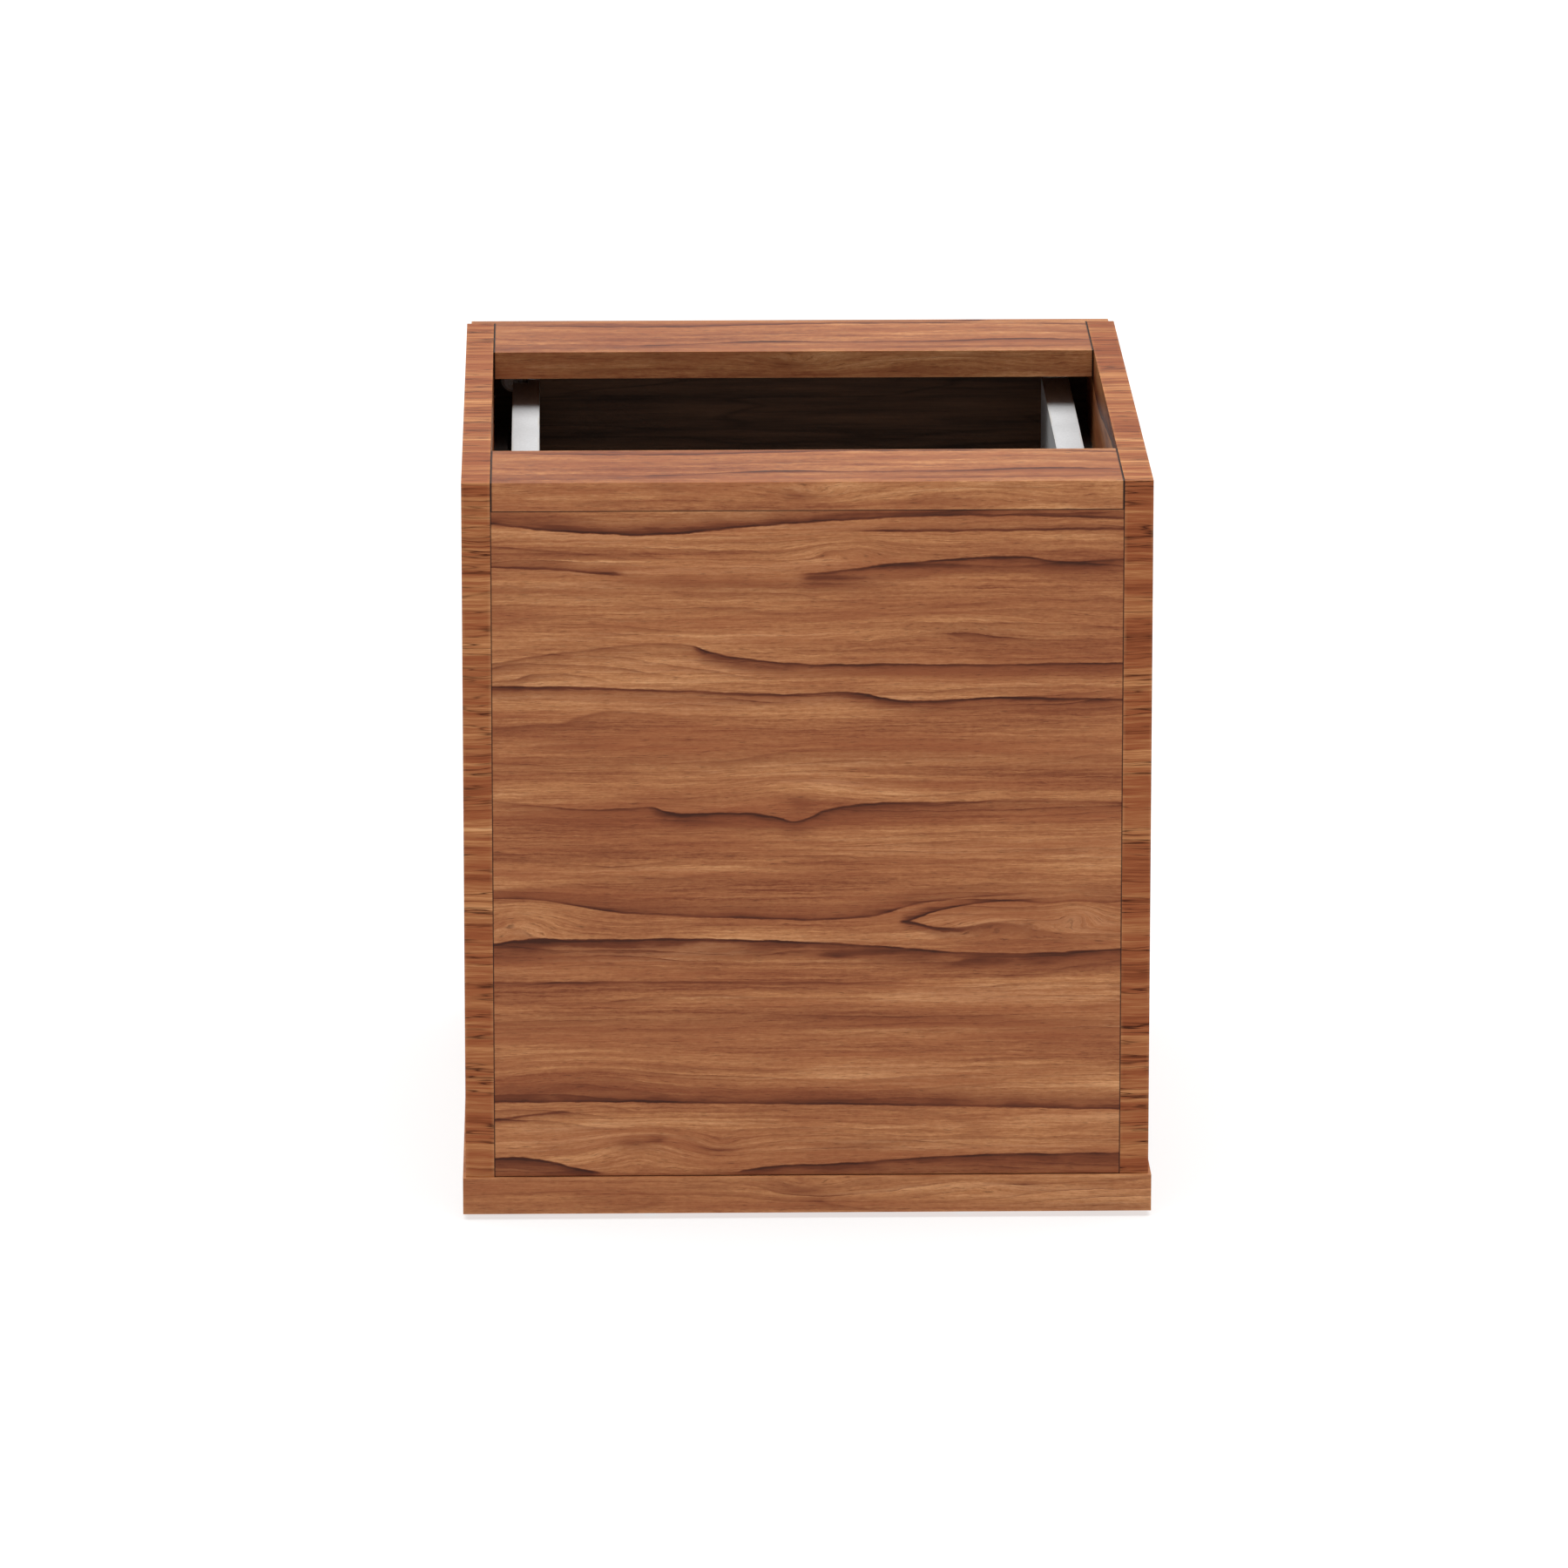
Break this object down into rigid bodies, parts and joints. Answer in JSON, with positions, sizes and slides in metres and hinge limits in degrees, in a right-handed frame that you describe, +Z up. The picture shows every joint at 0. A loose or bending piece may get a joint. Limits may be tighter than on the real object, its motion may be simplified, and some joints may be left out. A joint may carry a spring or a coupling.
{
  "type": "drawer pedestal",
  "caption": "Open-topped storage pedestal that carries a worktop, with a lockable box drawer over a file drawer on ball slides and a thick base slab.",
  "frame": {"origin": "centre of the unit's footprint, on the floor under the glides, pulls included", "axes": "+Z up, drawer fronts face -Y, +X to the right of a person facing the drawers"},
  "size_m": [0.461, 0.5874, 0.504],
  "materials": {
    "wood_grain_board": "satin wood-grain laminate on board, warm red-brown, grain running across",
    "light_grey_board": "matt light grey melamine-faced board",
    "beech": "bare fluted beech",
    "zinc_steel": "bright zinc-plated rolled steel",
    "ball_steel": "polished steel balls in zinc-plated steel cages",
    "screw_steel": "zinc-plated steel",
    "satin_nickel": "satin nickel",
    "lock_metal": "nickel-plated die-cast metal",
    "black_plastic": "matt black nylon",
    "clear_bumper": "translucent soft plastic"
  },
  "bodies": {
    "carcass": {"side_panel_left": "wood_grain_board", "side_panel_right": "wood_grain_board", "back_panel": "wood_grain_board", "base_panel": "wood_grain_board", "front_rail": "wood_grain_board", "rear_rail": "wood_grain_board", "carcass_dowels": "beech", "base_screws": "screw_steel", "glides": "black_plastic", "glide_nails": "screw_steel", "strike_plate": "satin_nickel", "strike_screws": "screw_steel", "upper_cabinet_slide_left": "zinc_steel", "upper_cabinet_slide_right": "zinc_steel", "lower_cabinet_slide_left": "zinc_steel", "lower_cabinet_slide_right": "zinc_steel", "cabinet_slide_screws": "screw_steel"},
    "upper_drawer": {"upper_drawer_front": "wood_grain_board", "upper_drawer_side_left": "light_grey_board", "upper_drawer_side_right": "light_grey_board", "upper_drawer_back": "light_grey_board", "upper_drawer_bottom": "light_grey_board", "upper_drawer_dowels": "beech", "upper_drawer_slide_left": "zinc_steel", "upper_drawer_slide_right": "zinc_steel", "upper_slide_screws": "screw_steel", "upper_pull": "satin_nickel", "upper_pull_screws": "screw_steel", "upper_bumpers": "clear_bumper", "lock_body": "lock_metal", "lock_nut": "lock_metal"},
    "lower_drawer": {"lower_drawer_front": "wood_grain_board", "lower_drawer_side_left": "light_grey_board", "lower_drawer_side_right": "light_grey_board", "lower_drawer_back": "light_grey_board", "lower_drawer_bottom": "light_grey_board", "lower_drawer_dowels": "beech", "lower_drawer_slide_left": "zinc_steel", "lower_drawer_slide_right": "zinc_steel", "lower_slide_screws": "screw_steel", "lower_pull": "satin_nickel", "lower_pull_screws": "screw_steel", "lower_bumpers": "clear_bumper", "file_rails": "zinc_steel", "file_rail_screws": "screw_steel"},
    "lock_barrel": {"lock_plug": "lock_metal", "lock_cam": "zinc_steel", "lock_cam_screw": "screw_steel"},
    "upper_middle_slides": {"upper_middle_slide_left": "zinc_steel", "upper_middle_slide_right": "zinc_steel"},
    "upper_outer_cages": {"upper_outer_ball_cages": "ball_steel"},
    "upper_inner_cages": {"upper_inner_ball_cages": "ball_steel"},
    "lower_middle_slides": {"lower_middle_slide_left": "zinc_steel", "lower_middle_slide_right": "zinc_steel"},
    "lower_outer_cages": {"lower_outer_ball_cages": "ball_steel"},
    "lower_inner_cages": {"lower_inner_ball_cages": "ball_steel"}
  },
  "joints": [
    {"name": "upper_drawer_slide", "type": "slide", "parent": "carcass", "child": "upper_drawer", "axis": [0, -1, 0], "range_m": [0, 0.5]},
    {"name": "upper_middle_travel", "type": "slide", "parent": "carcass", "child": "upper_middle_slides", "axis": [0, -1, 0], "range_m": [0, 0.25]},
    {"name": "upper_outer_cage_travel", "type": "slide", "parent": "carcass", "child": "upper_outer_cages", "axis": [0, -1, 0], "range_m": [0, 0.125]},
    {"name": "upper_inner_cage_travel", "type": "slide", "parent": "carcass", "child": "upper_inner_cages", "axis": [0, -1, 0], "range_m": [0, 0.375]},
    {"name": "lower_drawer_slide", "type": "slide", "parent": "carcass", "child": "lower_drawer", "axis": [0, -1, 0], "range_m": [0, 0.5]},
    {"name": "lower_middle_travel", "type": "slide", "parent": "carcass", "child": "lower_middle_slides", "axis": [0, -1, 0], "range_m": [0, 0.25]},
    {"name": "lower_outer_cage_travel", "type": "slide", "parent": "carcass", "child": "lower_outer_cages", "axis": [0, -1, 0], "range_m": [0, 0.125]},
    {"name": "lower_inner_cage_travel", "type": "slide", "parent": "carcass", "child": "lower_inner_cages", "axis": [0, -1, 0], "range_m": [0, 0.375]},
    {"name": "lock_turn", "type": "hinge", "parent": "upper_drawer", "child": "lock_barrel", "pos_m": [0.196, -0.24275, 0.464], "axis": [0, 1, 0], "range_deg": [0, 90]}
  ],
  "couplings": [
    {"joint": "upper_middle_travel", "follows": "upper_drawer_slide", "ratio": 0.5},
    {"joint": "upper_outer_cage_travel", "follows": "upper_drawer_slide", "ratio": 0.25},
    {"joint": "upper_inner_cage_travel", "follows": "upper_drawer_slide", "ratio": 0.75},
    {"joint": "lower_middle_travel", "follows": "lower_drawer_slide", "ratio": 0.5},
    {"joint": "lower_outer_cage_travel", "follows": "lower_drawer_slide", "ratio": 0.25},
    {"joint": "lower_inner_cage_travel", "follows": "lower_drawer_slide", "ratio": 0.75}
  ]
}
